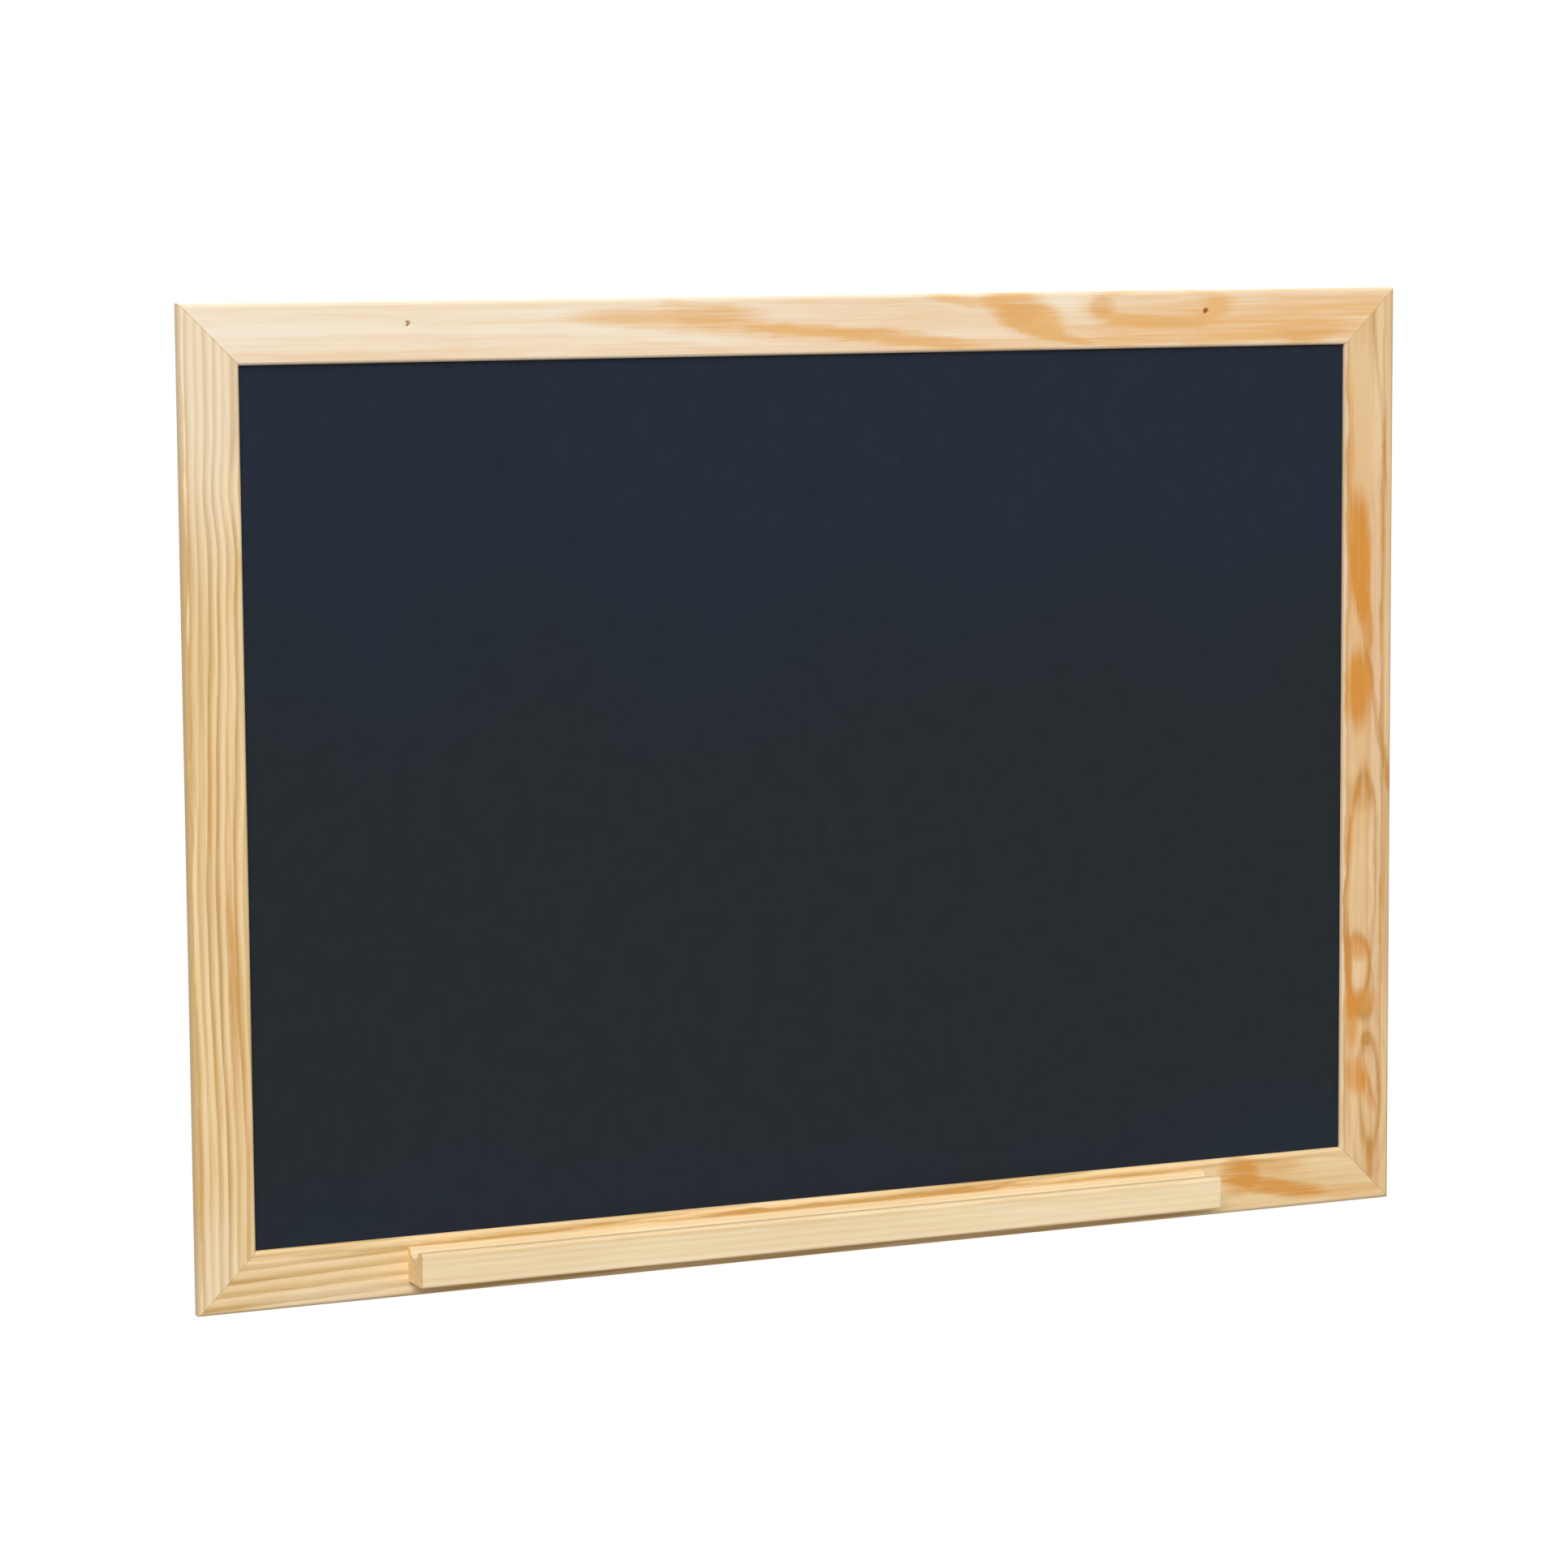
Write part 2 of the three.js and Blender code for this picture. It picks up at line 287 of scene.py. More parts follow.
def plate(name, outline, thickness, arris=0.0):
    """A flat body with its outline in x and z, as thick as told towards the front."""
    body = bmesh.new()
    face = body.faces.new([body.verts.new((x, 0, z)) for x, z in outline])
    made = bmesh.ops.extrude_face_region(body, geom=[face])["geom"]
    moved = [part for part in made if isinstance(part, bmesh.types.BMVert)]
    bmesh.ops.translate(body, vec=(0, -thickness, 0), verts=moved)
    if arris:
        bmesh.ops.bevel(body, geom=body.edges[:], offset=arris, segments=2, profile=0.5, affect="EDGES")
    return finished(name, body)


def noise(tree, place, stretch, detail=2.0, roughness=0.5):
    """Soft noise about zero, with one bump in about as many millimetres as stretch says each way."""
    scale = [1 / length for length in stretch]
    scaled = put(tree, "ShaderNodeVectorMath", {0: place, 1: scale}, operation="MULTIPLY")
    settings = {"Vector": scaled.outputs[0], "Scale": 1, "Detail": detail, "Roughness": roughness}
    texture = put(tree, "ShaderNodeTexNoise", settings)
    return Field(tree, texture.outputs["Fac"]) - 0.5


def blend(tree, share, first, second, how="MIX"):
    """Two colours blended, with a share of the second."""
    settings = {"Factor": share, 6: first, 7: second}
    node = put(tree, "ShaderNodeMix", settings, data_type="RGBA", blend_type=how)
    return node.outputs[2]


def bump(tree, height, strength, distance):
    """The slope that a small relief gives to the surface, its full height being the distance."""
    settings = {"Height": height, "Strength": strength, "Distance": distance}
    return put(tree, "ShaderNodeBump", settings).outputs[0]


def new_material(name):
    """An empty material, with its tree and the node that gives places on the board in millimetres."""
    material = bpy.data.materials.new(name)
    material.use_nodes = True
    tree = material.node_tree
    tree.nodes.clear()
    coordinates = put(tree, "ShaderNodeTexCoord")
    settings = {"Vector": coordinates.outputs["Object"], "Scale": (per_metre, per_metre, per_metre)}
    return material, tree, put(tree, "ShaderNodeMapping", settings)


def end_material(tree, settings):
    """Ends a material with its shader."""
    shader = put(tree, "ShaderNodeBsdfPrincipled", settings)
    put(tree, "ShaderNodeOutputMaterial", {"Surface": shader.outputs[0]})


repeat_tree, given, result = new_tree(
    "set_in_place",
    "GeometryNodeTree",
    {
        "Geometry": "NodeSocketGeometry",
        "Shape": "NodeSocketObject",
        "Finish": "NodeSocketMaterial",
    },
    {"Geometry": "NodeSocketGeometry"},
)
turn = put(repeat_tree, "GeometryNodeInputNamedAttribute", {"Name": "turn"}, data_type="FLOAT_VECTOR")
shape = put(repeat_tree, "GeometryNodeObjectInfo", {"Object": given["Shape"]})
sown = put(
    repeat_tree,
    "GeometryNodeInstanceOnPoints",
    {"Points": given["Geometry"], "Instance": shape.outputs["Geometry"], "Rotation": turn.outputs[0]},
)
whole = put(repeat_tree, "GeometryNodeRealizeInstances", {"Geometry": sown.outputs[0]})
bare = put(repeat_tree, "GeometryNodeRemoveAttribute", {"Geometry": whole.outputs[0], "Name": "turn"})
end_tree(repeat_tree, result, bare.outputs[0], given["Finish"])


def set_out(name, shape, places, finish=None):
    """One piece of many like bodies, each at its place and turned about the y axis."""
    mesh = bpy.data.meshes.new(name)
    mesh.from_pydata([place for place, angle in places], [], [])
    turn = mesh.attributes.new("turn", "FLOAT_VECTOR", "POINT")
    turn.data.foreach_set("vector", [part for place, angle in places for part in (0, angle, 0)])
    piece = new_piece(name, mesh)
    run_tree(piece, repeat_tree, {"Shape": shape, "Finish": finish})
    bpy.data.objects.remove(shape)
    return piece


def driven_ends(nodes):
    """Where the back ends of these nodes are, each with the angle that it is turned to."""
    places = []
    for node, angle in nodes.items():
        low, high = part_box(node)
        places.append((((low.x + high.x) / 2, high.y, (low.z + high.z) / 2), angle))
    return places


def shifted(places, step):
    """The same places, moved along y."""
    return [((x, y + step, z), angle) for (x, y, z), angle in places]


def nail_outline(grow):
    """Two legs from a corner on the mitre, one into each strip."""
    outer = nail_leg / 2 + grow
    inner = nail_leg / 2 - nail_thickness - grow
    return [
        (outer, outer),
        (-outer, outer),
        (-outer, inner),
        (inner, inner),
        (inner, -outer),
        (outer, -outer),
    ]


zinc, tree, mapping = new_material("zinc_plate")
bloom = noise(tree, mapping.outputs[0], zinc_bloom, 3)
line = noise(tree, mapping.outputs[0], zinc_lines, 2)
zinc_settings = {
    "Base Color": blend(tree, bloom.ramp(-0.2, 0.2), *zinc_tones),
    "Metallic": 1.0,
    "Roughness": bloom * 0.5 + 0.34,
    "Normal": bump(tree, line, **zinc_relief),
}
end_material(tree, zinc_settings)

nail_nodes = {}
for corner, angle in nail_turns.items():
    for place in ("inner", "outer"):
        nail_nodes[f"v_nail_{corner}_{place}"] = angle
nail_places = driven_ends(nail_nodes)
nail = plate("v_nail", nail_outline(0), nail_height, steel_arris)
nails = set_out("v_nails", nail, nail_places, zinc)
smooth(nails)
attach(nails, "root")
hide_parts(*nail_nodes)

nail_slot_depth = nail_sink + cut_past + nail_height + slot_clearance
nail_slot = plate("nail_slot", nail_outline(slot_clearance), nail_slot_depth)
nail_slots = set_out("nail_slots", nail_slot, shifted(nail_places, nail_sink + cut_past))


# The panel points. Small flat steel points, pushed into the side of the rebate from behind so that
# half of each lies over the edge of the panel and holds it in: four to a rail and three to a stile.
point_width = 0.005
point_thickness = 0.0005
point_length = 0.014
point_taper = 0.003
points_to_a_side = {"top": 4, "right": 3, "bottom": 4, "left": 3}
side_turns = {"top": 0, "right": math.pi / 2, "bottom": math.pi, "left": -math.pi / 2}


def point_outline(grow):
    """A short strip that tapers to its tip in the wood."""
    half = point_width / 2 + grow
    end = point_length / 2 + grow
    return [(-half, -end), (half, -end), (half, end - point_taper), (0, end), (-half, end - point_taper)]


point_nodes = {}
for side, count in points_to_a_side.items():
    for i in range(count):
        point_nodes[f"panel_point_{side}_{i + 1}"] = side_turns[side]
point_places = driven_ends(point_nodes)
point = plate("point", point_outline(0), point_thickness, steel_arris)
points = set_out("panel_points", point, point_places, zinc)
smooth(points)
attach(points, "root")
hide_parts(*point_nodes)

point_slot = plate("point_slot", point_outline(slot_clearance), point_thickness + 2 * slot_clearance)
point_slots = set_out("point_slots", point_slot, shifted(point_places, slot_clearance))


# The ledge screws. Three countersunk steel screws with a cross recess, driven from behind through
# the bottom rail into the ledge. The thread lies in the wood and is left out.
screw_shank = 0.00175
screw_head = 0.0035
screw_rim = 0.0004
screw_tip = 0.004
cross_length = 0.0038
cross_width = 0.0009
cross_depth = 0.0015
turned_sides = 48
same_place = 1e-6


def turned(name, section):
    """A body turned about the y axis. Its section gives distances from the axis, and y."""
    body = bmesh.new()
    points = [body.verts.new((radius, y, 0)) for radius, y in section]
    edges = [body.edges.new(pair) for pair in zip(points, points[1:])]
    around = {"axis": (0, 1, 0), "cent": (0, 0, 0), "angle": 2 * math.pi, "steps": turned_sides}
    bmesh.ops.spin(body, geom=points + edges, use_merge=True, **around)
    bmesh.ops.remove_doubles(body, verts=body.verts, dist=same_place)
    return finished(name, body)


def cut(piece, cutters):
    """Cuts other bodies out of a piece."""
    for cutter in cutters:
        modifier = piece.modifiers.new("cut", "BOOLEAN")
        modifier.operation = "DIFFERENCE"
        modifier.solver = "EXACT"
        modifier.object = cutter
    keep_shape(piece)


def screw_section(length, grow, above):
    """From the tip of a countersunk screw to its head, or past it for the hole."""
    shank = screw_shank + grow
    head = screw_head + grow
    tip = -length - grow
    return [
        (0, tip),
        (shank, tip + screw_tip),
        (shank, -screw_rim - head + shank),
        (head, -screw_rim),
        (head, above),
        (0, above),
    ]


screw_nodes = dict.fromkeys(("ledge_screw_1", "ledge_screw_2", "ledge_screw_3"), 0)
screw_places = driven_ends(screw_nodes)
screw_low, screw_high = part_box("ledge_screw_1")
screw_length = screw_high.y - screw_low.y
screw = turned("ledge_screw", screw_section(screw_length, 0, 0))
half_length = cross_length / 2
half_width = cross_width / 2
for across, up in ((half_length, half_width), (half_width, half_length)):
    outline = [(-across, -up), (across, -up), (across, up), (-across, up)]
    recess = plate("recess", outline, 2 * cross_depth)
    recess.data.transform(Matrix.Translation((0, cross_depth, 0)))
    cut(screw, [recess])
    bpy.data.objects.remove(recess)
screws = set_out("ledge_screws", screw, screw_places, zinc)
smooth(screws)
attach(screws, "root")
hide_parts(*screw_nodes)

screw_hole = turned("screw_hole", screw_section(screw_length, slot_clearance, cut_past))
screw_holes = set_out("screw_holes", screw_hole, screw_places)


# The frame. Four planed pine strips with rounded arrises and a rebate behind, cut to 45 degree
# mitres and glued, with a screw hole near each end of the top rail. The places and sizes of its
# grain are counted in millimetres along a strip from its middle, and outward from the opening.
lip_thickness = 0.00375
rebate_width = 0.007
inner_arris = 0.0025
outer_arris = 0.003
back_arris = 0.001
mitre_trim = 0.000125
arris_steps = 10
flat_border = 0.0003
wall_hole = 0.002
wall_hole_easing = 0.0004
wall_hole_spacing = 0.592
wall_hole_shift = 0.001
log_spacing = 200
ring_bends = (60, 20, 20)
ring_waves = (220, 60, 60)
frayed_edges = (38, 7, 7)
fibres = (45, 0.5, 0.5)
streaks = (120, 2.4, 2.4)
clouds = (170, 15, 15)
pores = (6, 0.2, 0.2)
soft_rim = 2.1
wood_relief = {"strength": 0.3, "distance": 0.0001}
varnish_gloss = 0.28
pale_wood_and_painted_light = (0.98, 0.87, 0.7, 1)
pore_tint = (0.55, 0.36, 0.22, 1)
end_grain_tint = (0.95, 0.87, 0.74, 1)
golden_pine = {
    "Spring Wood": (0.94, 0.7, 0.4, 1),
    "Summer Wood": (0.6, 0.37, 0.125, 1),
    "Resin Wood": (0.69, 0.31, 0.065, 1),
}
red_pine = {
    "Spring Wood": (0.84, 0.59, 0.32, 1),
    "Summer Wood": (0.57, 0.27, 0.07, 1),
    "Resin Wood": (0.7, 0.285, 0.045, 1),
}
pale_pine = {
    "Spring Wood": (0.98, 0.86, 0.68, 1),
    "Summer Wood": (0.86, 0.5, 0.2, 1),
    "Resin Wood": (0.74, 0.36, 0.09, 1),
}
calm = {
    "along": 0,
    "across": 0.16,
    "into": 0.08,
    "start": 0,
    "waves": 0.3,
    "wander": 3,
    "fray": 8,
    "contrast": 0.75,
}
# A shape has its middle along and across the strip, its half length, its half width and its lean.
# Last is its strength, which for a swell is how many rings it adds. A loop has its line's width
# before it.
figures = {
    "top_rail": {
        "rings": {**calm, "across": 0.09, "contrast": 0.1, "fray": 11},
        "shades": [
            (-112, 27.5, 62, 7.5, 0, 0.6),
            (0, 26, 110, 11, 0, 0.25),
            (20, 13.8, 82, 4.6, -0.085, 0.6),
            (0, 4, 560, 6, 0, 0.25),
            (-30, 14, 60, 5, -0.06, 0.3),
            (154, 27, 26, 14, -0.3, 0.7),
            (112, 34, 30, 4, -0.1, 0.55),
            (176, 11, 26, 4.5, -0.22, 0.5),
            (175, 12, 130, 13, 0, 0.25),
            (300, 11, 110, 9, 0, 0.3),
            (385, 24, 85, 20, 0, 0.55),
            (259, 27, 42, 10, 0, 0.55),
        ],
        "loops": [(259, 30.5, 50, 12, 0, 2.8, 0.5)],
        "resin_and_painted_shade": [
            (152, 27, 18, 8, 0, 0.35),
            (215, 30, 9, 7, 0, 0.4),
            (258, 18.5, 40, 2.8, 0, 0.22),
            (384, 8, 28, 5, 0, 0.4),
            (-80, 27, 30, 5, 0, 0.2),
            (45, 12, 50, 3, -0.07, 0.2),
            (176, 11, 26, 4, -0.22, 0.2),
        ],
        "tones": pale_pine,
    },
    "bottom_rail": {
        "rings": {**calm, "along": -0.0041, "across": 0.125, "start": 0.79},
        "shades": [
            # Partly grain and partly painted shade: a dark line along the whole crease just above the
            # ledge.
            (15, 5.2, 400, 1.7, 0, 0.45),
            (-380, 15, 55, 30, 0, 0.22),
            (-338, 4, 22, 1.5, 0, 0.3),
            (-105, 5, 45, 1.5, 0, 0.4),
            (55, 5.5, 34, 1.6, 0.02, 0.4),
            # Partly a summer wood streak and partly painted shadow: the strip of rail under the ledge is
            # darkened where the ledge's shadow falls.
            (5, 34.5, 290, 5, 0, 0.4),
        ],
        "boldness": [(-385, 18, 90, 34, 0, -0.75)],
        "pale": [(350, 34, 60, 6, 0, 0.25)],
        "resin_and_painted_shade": [
            (-325, 13, 15, 11, 0, 0.8),
            (-358, 24, 34, 5.6, -0.17, 0.95),
            (-412, 32, 45, 3.6, 0, 0.42),
            (-352, 8, 24, 5, 0, 0.38),
            (-360, 15, 28, 5, 0, 0.2),
            (-338, 4, 18, 1.2, 0, 0.3),
            (55, 5.2, 28, 1.6, 0, 0.3),
            (-105, 4.8, 40, 1.5, 0, 0.3),
            # Partly resin and partly painted shadow: a redder tint on the strip of rail under the ledge,
            # where its shadow falls.
            (5, 34.5, 290, 5, 0, 0.12),
        ],
        "tones": golden_pine,
    },
    "left_stile": {
        "rings": {**calm, "across": 0.164, "start": 0.6},
        "boldness": [(300, 20, 130, 28, 0, 0.25)],
        "swells": [
            (207, 12, 24, 18, 0, -0.5),
            (165, 12, 24, 18, 0, 0.2),
            (-58, 20, 95, 80, 0, -0.7),
        ],
        "shades": [
            (203, 3, 30, 5, 0, -0.5),
            (-110, 11.5, 56, 2.4, 0.03, 0.5),
            (320, 20, 110, 80, 0, -0.15),
            (255, 4, 70, 4.5, 0, 0.35),
            # Painted shade: the outer side face of the stile, turned away from the lamp, is darkened as
            # summer wood.
            (0, 42.5, 900, 4.2, 0, 1.7),
        ],
        "pale": [
            (335, 20, 150, 22, 0, 0.5),
            (-320, 26, 60, 14, 0, 0.28),
            # Painted shade: greys the darkened outer side face of the stile.
            (0, 42.5, 900, 4, 0, 0.15),
        ],
        "resin_and_painted_shade": [
            (-150, 9, 90, 6, 0.04, 0.25),
            (-40, 11, 80, 3.5, -0.03, 0.22),
            (30, 27, 90, 8, 0, 0.15),
            (-190, 24.5, 60, 2.5, 0, 0.2),
        ],
        "tones": golden_pine,
    },
    "right_stile": {
        "rings": {**calm, "across": 0.035, "start": -0.5, "waves": 0.15, "contrast": 0.6},
        "swells": [(-300, 40, 60, 30, 0, 0.3)],
        # The second patch is a painted highlight: the inner arris of the stile, which faces the lamp, is
        # paled along its whole length.
        "pale": [(-40, 27.5, 290, 4.5, 0, 0.15), (0, 0, 900, 1.6, 0, 0.4)],
        "loops": [
            (100, 15.5, 83, 12.5, -0.02, 1.3, 0.6),
            (165, 15, 29, 10.5, 0.12, 2, 0.6),
            (251, 23, 41, 8.5, 0.04, 1.6, 0.55),
            (248, 22, 62, 17, 0.03, 1.6, 0.2),
        ],
        "shades": [
            (-24, 27.5, 56, 2.3, 0.2, 0.65),
            (-95, 20.5, 55, 1.7, 0.01, 0.45),
            (-150, 31.8, 200, 1.6, 0, 0.4),
            (-265, 27.5, 76, 1.9, 0.09, 0.45),
            (90, 37, 90, 5, 0, 0.4),
            (164, 15, 14, 5, 0.1, -0.15),
            (-40, 27.5, 270, 4.5, 0, -0.3),
            (-235, 17, 50, 11, 0, -0.3),
            (32, 15, 12, 9, 0, 0.4),
            (211, 21, 5, 4.5, 0, 0.4),
            (298, 23, 14, 3, 0, 0.4),
            (247, 24, 17, 1.8, 0.28, 0.45),
        ],
        "resin_and_painted_shade": [
            (-142, 12.8, 39, 8.6, 0.05, 0.8),
            (-126, 6.5, 24, 4, 0, 0.35),
            (-96, 16.5, 19, 5.5, 0.2, 0.6),
            (-43, 12.5, 26, 9, 0, 0.95),
            (-120, 12, 130, 20, 0.03, 0.2),
            (-215, 6, 45, 1.8, 0, 0.45),
            (78, 6, 24, 2, 0, 0.45),
            (45, 10, 24, 10, 0, 0.2),
            (144, 13, 9, 7.5, 0, 0.6),
            (183, 18, 8, 12, 0.1, 0.6),
            (186, 8, 9, 5, 0, 0.4),
            (200, 9, 18, 5, 0, 0.7),
            (166, 5.5, 24, 2.4, 0, 0.45),
            (237, 11.5, 13, 8, 0.1, 0.75),
            (250, 22.5, 13, 5, 0.3, 0.45),
        ],
        "tones": red_pine,
    },
}
opening_low = Vector((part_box("left_stile")[1].x, 0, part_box("bottom_rail")[1].z))
opening_high = Vector((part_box("right_stile")[0].x, 0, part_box("top_rail")[0].z))
opening = opening_high - opening_low
opening_middle = (opening_low + opening_high) / 2
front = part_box("top_rail")[0].y
strip_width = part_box("top_rail")[1].z - opening_high.z


def loop_mesh(name, points):
    """A closed line of points as a mesh, with the radius that each corner is rounded to."""
    mesh = bpy.data.meshes.new(name)
    count = len(points)
    edges = [(i, (i + 1) % count) for i in range(count)]
    mesh.from_pydata([(p[0], p[1], 0) for p in points], edges, [])
    arris = mesh.attributes.new("arris", "FLOAT", "POINT")
    arris.data.foreach_set("value", [p[2] for p in points])
    return mesh


def bordered(points):
    """The same outline, with a point on each flat beside a rounded corner, to keep the flats flat."""
    result = []
    for i, (x, y, radius) in enumerate(points):
        here = Vector((x, y))
        for side in (-1, 0, 1):
            there = Vector(points[(i + side) % len(points)][:2])
            if side == 0:
                result.append((x, y, radius))
            elif radius > 0:
                step = (there - here).normalized() * (radius + flat_border)
                result.append((x + step.x, y + step.y, 0))
    return result


# The tree that makes a strip of wood from its section: x runs along it, y to its back, and z out
# from the opening. At a slope of 1 its ends are mitred, and at 0 they are square.
strip_tree, given, result = new_tree(
    "wood_strip",
    "GeometryNodeTree",
    {
        "Geometry": "NodeSocketGeometry",
        "Half Length": "NodeSocketFloat",
        "End Slope": "NodeSocketFloat",
        "Arris Steps": "NodeSocketInt",
        "Finish": "NodeSocketMaterial",
    },
    {"Geometry": "NodeSocketGeometry"},
)
section = put(strip_tree, "GeometryNodeMeshToCurve", {"Mesh": given["Geometry"]})
arris = put(strip_tree, "GeometryNodeInputNamedAttribute", {"Name": "arris"}, data_type="FLOAT")
rounded = put(
    strip_tree,
    "GeometryNodeFilletCurve",
    {
        "Curve": section.outputs[0],
        "Count": given["Arris Steps"],
        "Radius": arris.outputs[0],
        "Limit Radius": True,
    },
    mode="POLY",
)
here = put(strip_tree, "GeometryNodeInputPosition")
kept = put(
    strip_tree,
    "GeometryNodeStoreNamedAttribute",
    {"Geometry": rounded.outputs[0], "Name": "section", "Value": here.outputs[0]},
    data_type="FLOAT_VECTOR",
    domain="POINT",
)
run = put(strip_tree, "GeometryNodeCurvePrimitiveLine", {"Start": (-1, 0, 0), "End": (1, 0, 0)})
swept = put(
    strip_tree,
    "GeometryNodeCurveToMesh",
    {"Curve": run.outputs[0], "Profile Curve": kept.outputs[0], "Fill Caps": True},
)
recalled = put(
    strip_tree, "GeometryNodeInputNamedAttribute", {"Name": "section"}, data_type="FLOAT_VECTOR"
)
parts = put(strip_tree, "ShaderNodeSeparateXYZ", {0: recalled.outputs[0]})
along = put(strip_tree, "ShaderNodeSeparateXYZ", {0: here.outputs[0]}).outputs[0]
out = Field(strip_tree, parts.outputs[0])
reach = out * given["End Slope"] + given["Half Length"]
place = put(
    strip_tree,
    "ShaderNodeCombineXYZ",
    {0: reach * Field(strip_tree, along).calc("SIGN"), 1: parts.outputs[1], 2: parts.outputs[0]},
)
moved = put(
    strip_tree,
    "GeometryNodeSetPosition",
    {"Geometry": swept.outputs[0], "Position": place.outputs[0]},
)
bare = put(
    strip_tree,
    "GeometryNodeRemoveAttribute",
    {"Geometry": moved.outputs[0], "Name": "section"},
)
end_tree(strip_tree, result, bare.outputs[0], given["Finish"])

# The shader groups of all the pine. ring_swell is one place where the growth rings bulge or close
# round a knot, and pine turns ring numbers into spring wood, summer wood and fibres.
swell_group, given, result = new_tree(
    "ring_swell",
    "ShaderNodeTree",
    dict.fromkeys(
        (
            "Along",
            "Across",
            "Mid Along",
            "Mid Across",
            "Half Length",
            "Half Width",
            "Lean",
            "Rise",
            "Rim Width",
        ),
        "NodeSocketFloat",
    ),
    dict.fromkeys(("Rings", "Inside", "Rim"), "NodeSocketFloat"),
)
beside = Field(swell_group, given["Along"]) - given["Mid Along"]
above = Field(swell_group, given["Across"]) - given["Mid Across"] - beside * given["Lean"]
beside = beside / given["Half Length"]
above = above / given["Half Width"]
square = beside * beside + above * above
from_rim = (square.calc("SQRT") - 1) * given["Half Width"] / given["Rim Width"]
feed(swell_group, result["Rings"], (square * -1).calc("EXPONENT") * given["Rise"])
feed(swell_group, result["Inside"], square.ramp(soft_rim, 0))
feed(swell_group, result["Rim"], (from_rim * from_rim * -1).calc("EXPONENT"))


pine_group, given, result = new_tree(
    "pine",
    "ShaderNodeTree",
    {
        "Place": "NodeSocketVector",
        "Rings": "NodeSocketFloat",
        "Contrast": "NodeSocketFloat",
        "Shade": "NodeSocketFloat",
        "Resin And Painted Shade": "NodeSocketFloat",
        "Pale And Painted Light": "NodeSocketFloat",
        "End Grain": "NodeSocketFloat",
        "Spring Wood": "NodeSocketColor",
        "Summer Wood": "NodeSocketColor",
        "Resin Wood": "NodeSocketColor",
    },
    {"Color": "NodeSocketColor", "Roughness": "NodeSocketFloat", "Height": "NodeSocketFloat"},
)
spot = given["Place"]
rings = Field(pine_group, given["Rings"])
number = put(pine_group, "ShaderNodeTexWhiteNoise", {"W": rings.calc("FLOOR")}, noise_dimensions="1D")
ring = rings.calc("FRACT")
summer = ring.ramp(0.15, 0.86) * ring.ramp(1.0, 0.9)
summer = summer * Field(pine_group, number.outputs["Value"]).ramp(0, 1, 0.65, 1.15)
fibre = noise(pine_group, spot, fibres, 2)
streak = noise(pine_group, spot, streaks, 3, 0.6)
cloud = noise(pine_group, spot, clouds, 2)
pore = noise(pine_group, spot, pores, 1).ramp(0.16, 0.28)
vein = fibre * 0.55 + streak * 0.75
contrast = Field(pine_group, given["Contrast"]).calc("MAXIMUM", 0)
line = (summer * contrast + given["Shade"]) * (vein * 1.2 + 1)
line = line + vein * 0.8 + cloud * 0.5 + 0.1
wood = blend(pine_group, line.calc("MAXIMUM", 0), given["Spring Wood"], given["Summer Wood"])
stain_and_painted_shade = Field(pine_group, given["Resin And Painted Shade"]) * (vein * 2 + 1)
wood = blend(pine_group, stain_and_painted_shade.calc("MAXIMUM", 0).calc("MINIMUM", 1), wood, given["Resin Wood"])
wood = blend(pine_group, given["Pale And Painted Light"], wood, pale_wood_and_painted_light)
wood = blend(pine_group, pore * 0.35, wood, pore_tint, "MULTIPLY")
wood = blend(pine_group, given["End Grain"], wood, end_grain_tint, "MULTIPLY")
feed(pine_group, result["Color"], wood)
feed(pine_group, result["Roughness"], summer * -0.08 + vein * 0.3 + 0.56)
feed(pine_group, result["Height"], summer * 0.4 + fibre * 1.0 - pore * 0.6)


def shaped(tree, along, across, shape):
    """One shape: its middle, half length, half width and lean, and any rise and rim width after them."""
    names = ("Mid Along", "Mid Across", "Half Length", "Half Width", "Lean", "Rise", "Rim Width")
    group = put(tree, "ShaderNodeGroup", node_tree=swell_group)
    group.inputs["Rim Width"].default_value = 1
    for socket, value in {"Along": along, "Across": across, **dict(zip(names, shape))}.items():
        feed(tree, group.inputs[socket], value)
    return {name: Field(tree, group.outputs[name]) for name in ("Rings", "Inside", "Rim")}


def patches(tree, along, across, shapes, start=0):
    """Adds patches to a start value, each with its strength last in its shape."""
    total = start
    for *shape, strength in shapes:
        total = total + shaped(tree, along, across, shape)["Inside"] * strength
    return total


